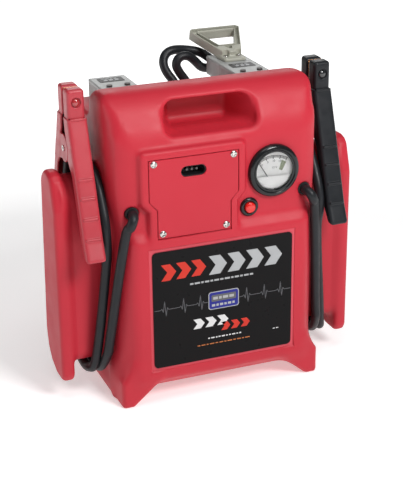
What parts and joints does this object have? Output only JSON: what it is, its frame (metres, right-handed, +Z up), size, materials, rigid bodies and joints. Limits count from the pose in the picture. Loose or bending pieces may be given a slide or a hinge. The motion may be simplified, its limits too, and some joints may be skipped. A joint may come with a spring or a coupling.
{
  "type": "jump starter pack",
  "caption": "Portable jump starter pack: moulded case with side bobbins for clamp leads, meter, test button, and a selector plug in rear receptacles.",
  "frame": {"origin": "on the floor, under the middle of the pack without its leads", "axes": "+X to the right seen from the front, +Y to the back, +Z up"},
  "size_m": [0.446, 0.2926, 0.4634],
  "materials": {
    "case_red": "fine matt rotomoulded polyethylene",
    "bright_steel": "bright zinc plate",
    "spring_steel": "drawn wire",
    "label_black": "printed film",
    "black_plastic": "moulded",
    "meter_black": "polished",
    "lens": "clear",
    "dial_white": "white enamel",
    "needle_black": "black",
    "brass": "turned",
    "button_red": "gloss",
    "battery_case": "moulded",
    "lead_metal": "tinned",
    "copper": "copper",
    "tray_grey": "foam",
    "zinc_steel": "zinc",
    "board_green": "solder mask",
    "housing_grey": "moulded polycarbonate",
    "contact_silver": "silver plate",
    "handle_olive": "moulded",
    "cable_black": "matt jacket",
    "rubber_black": "matt",
    "clamp_red": "moulded vinyl",
    "clamp_black": "moulded vinyl"
  },
  "bodies": {
    "root": {"case": "case_red", "rear_cover": "case_red", "rear_cover_screws": "bright_steel", "front_plate": "case_red", "front_plate_screws": "bright_steel", "front_label": "label_black", "charge_inlet": "black_plastic", "charge_inlet_pins": "bright_steel", "charge_board": "board_green", "circuit_breaker": "black_plastic", "meter_bezel": "meter_black", "meter_lens": "lens", "meter_dial": "dial_white", "meter_arbor": "brass", "meter_can": "black_plastic", "meter_studs": "brass", "button_bezel": "meter_black", "button_spring": "spring_steel", "test_switch": "black_plastic", "battery_front": "battery_case", "battery_rear": "battery_case", "battery_terminals": "lead_metal", "battery_link": "copper", "battery_tray": "tray_grey", "battery_bracket": "zinc_steel", "bracket_screws": "bright_steel", "receptacle_left": "housing_grey", "receptacle_right": "housing_grey", "receptacle_contacts": "contact_silver", "receptacle_labels": "label_black", "receptacle_screws": "bright_steel", "selector_gland": "rubber_black", "lead_gland_red": "rubber_black", "lead_gland_black": "rubber_black", "lead_red": "cable_black", "lead_black": "cable_black", "red_pin": "bright_steel", "red_spring": "spring_steel", "black_pin": "bright_steel", "black_spring": "spring_steel"},
    "red_front": {"red_front_arm": "clamp_red", "red_front_jaw": "copper"},
    "red_rear": {"red_rear_arm": "clamp_red", "red_rear_jaw": "copper", "red_lug": "copper"},
    "black_front": {"black_front_arm": "clamp_black", "black_front_jaw": "copper"},
    "black_rear": {"black_rear_arm": "clamp_black", "black_rear_jaw": "copper", "black_lug": "copper"},
    "test_button": {"test_button": "button_red"},
    "meter_needle": {"meter_needle": "needle_black"},
    "selector_plug": {"plug_housing": "housing_grey", "plug_contacts": "contact_silver", "plug_handle": "handle_olive", "plug_handle_screws": "bright_steel", "selector_lead_left": "cable_black", "selector_lead_right": "cable_black"}
  },
  "joints": [
    {"name": "red_clamp_open", "type": "hinge", "parent": "root", "child": "red_front", "pos_m": [-0.1805, -0.04786, 0.365], "axis": [1, 0, 0], "range_deg": [0, 8], "stiffness_Nm_per_rad": 2, "springref_deg": -17.19},
    {"name": "red_clamp_follow", "type": "hinge", "parent": "root", "child": "red_rear", "pos_m": [-0.1805, -0.04786, 0.365], "axis": [1, 0, 0], "range_deg": [-8, 0], "stiffness_Nm_per_rad": 2, "springref_deg": 17.19},
    {"name": "black_clamp_open", "type": "hinge", "parent": "root", "child": "black_front", "pos_m": [0.1805, -0.04786, 0.365], "axis": [1, 0, 0], "range_deg": [0, 8], "stiffness_Nm_per_rad": 2, "springref_deg": -17.19},
    {"name": "black_clamp_follow", "type": "hinge", "parent": "root", "child": "black_rear", "pos_m": [0.1805, -0.04786, 0.365], "axis": [1, 0, 0], "range_deg": [-8, 0], "stiffness_Nm_per_rad": 2, "springref_deg": 17.19},
    {"name": "test_button_press", "type": "slide", "parent": "root", "child": "test_button", "axis": [0, 1, 0], "range_m": [0, 0.003], "stiffness_N_per_m": 400, "springref_m": -0.003, "deforming": ["button_spring"]},
    {"name": "needle_swing", "type": "hinge", "parent": "root", "child": "meter_needle", "pos_m": [0.0784, -0.13146, 0.3], "axis": [0, 1, 0], "range_deg": [0, 64], "stiffness_Nm_per_rad": 0.002, "springref_deg": -17.19},
    {"name": "plug_pull", "type": "slide", "parent": "root", "child": "selector_plug", "axis": [0, 1, 0], "range_m": [0, 0.04]}
  ],
  "couplings": [
    {"joint": "red_clamp_follow", "follows": "red_clamp_open", "ratio": -1},
    {"joint": "black_clamp_follow", "follows": "black_clamp_open", "ratio": -1}
  ]
}
